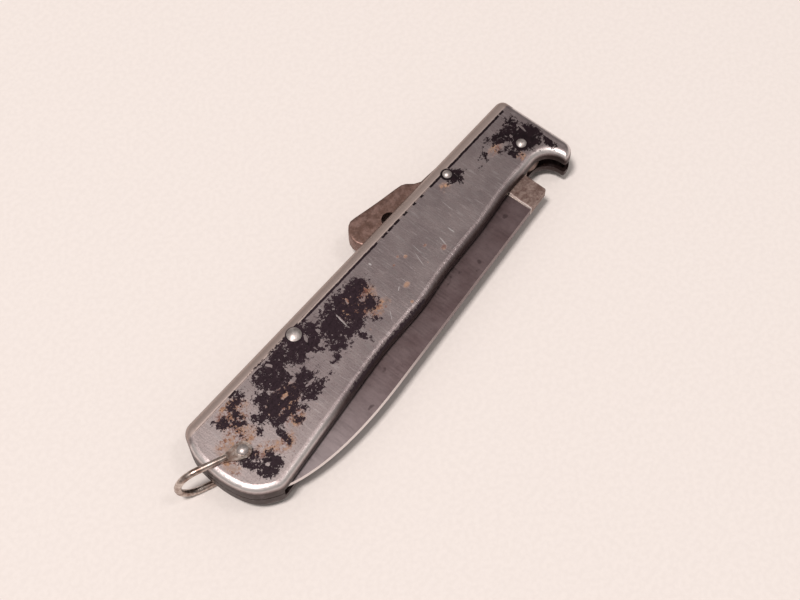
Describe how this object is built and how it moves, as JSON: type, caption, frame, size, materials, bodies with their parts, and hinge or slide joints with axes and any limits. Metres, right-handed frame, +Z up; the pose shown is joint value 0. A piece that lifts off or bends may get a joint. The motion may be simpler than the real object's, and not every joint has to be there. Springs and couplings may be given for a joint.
{
  "type": "folding pocket knife",
  "caption": "Closed folding pocket knife with a folded sheet-steel handle, thumb-tab lock lever on the spine, hooked finger guard and a wire bail at the tail.",
  "frame": {"origin": "on the table, under the middle of the closed knife's bounding box", "axes": "+X along the handle towards the head and blade pivot, +Y across the handle towards its spine, +Z up out of the upper face"},
  "size_m": [0.117, 0.0334, 0.0116],
  "materials": {
    "shell": "black enamel mostly worn off to scratched steel, with small rust spots",
    "blade": "dulled grey carbon steel with a bright ground edge",
    "rivet": "polished by handling",
    "inner": "plain",
    "lever": "browned, worn bright on the edges",
    "spring": "blued spring steel",
    "bail": "worn plating"
  },
  "bodies": {
    "handle_body": {"handle_shell": "shell", "blade_pin": "rivet", "lever_pin": "rivet", "spring_rivet": "rivet", "tail_rivet": "rivet", "blade_washer_upper": "inner", "blade_washer_lower": "inner", "lever_washer_upper": "inner", "lever_washer_lower": "inner", "spring_sleeve": "inner", "tail_sleeve": "inner", "leaf_spring": "spring"},
    "blade_body": {"blade": "blade"},
    "lever_body": {"lock_lever": "lever"},
    "bail_body": {"bail": "bail"}
  },
  "joints": [
    {"name": "blade_pivot", "type": "hinge", "parent": "handle_body", "child": "blade_body", "pos_m": [0.051, -0.00094, 0.00582], "axis": [0, 0, 1], "range_deg": [0, 180]},
    {"name": "lever_press", "type": "hinge", "parent": "handle_body", "child": "lever_body", "pos_m": [0.0338, 0.00686, 0.00582], "axis": [0, 0, 1], "range_deg": [0, 5], "stiffness_Nm_per_rad": 1.5, "springref_deg": -1.72, "deforming": ["leaf_spring"]},
    {"name": "bail_swing", "type": "hinge", "parent": "handle_body", "child": "bail_body", "pos_m": [-0.0441, -0.00244, 0.00582], "axis": [0, 0, 1], "range_deg": [-40, 130]}
  ]
}
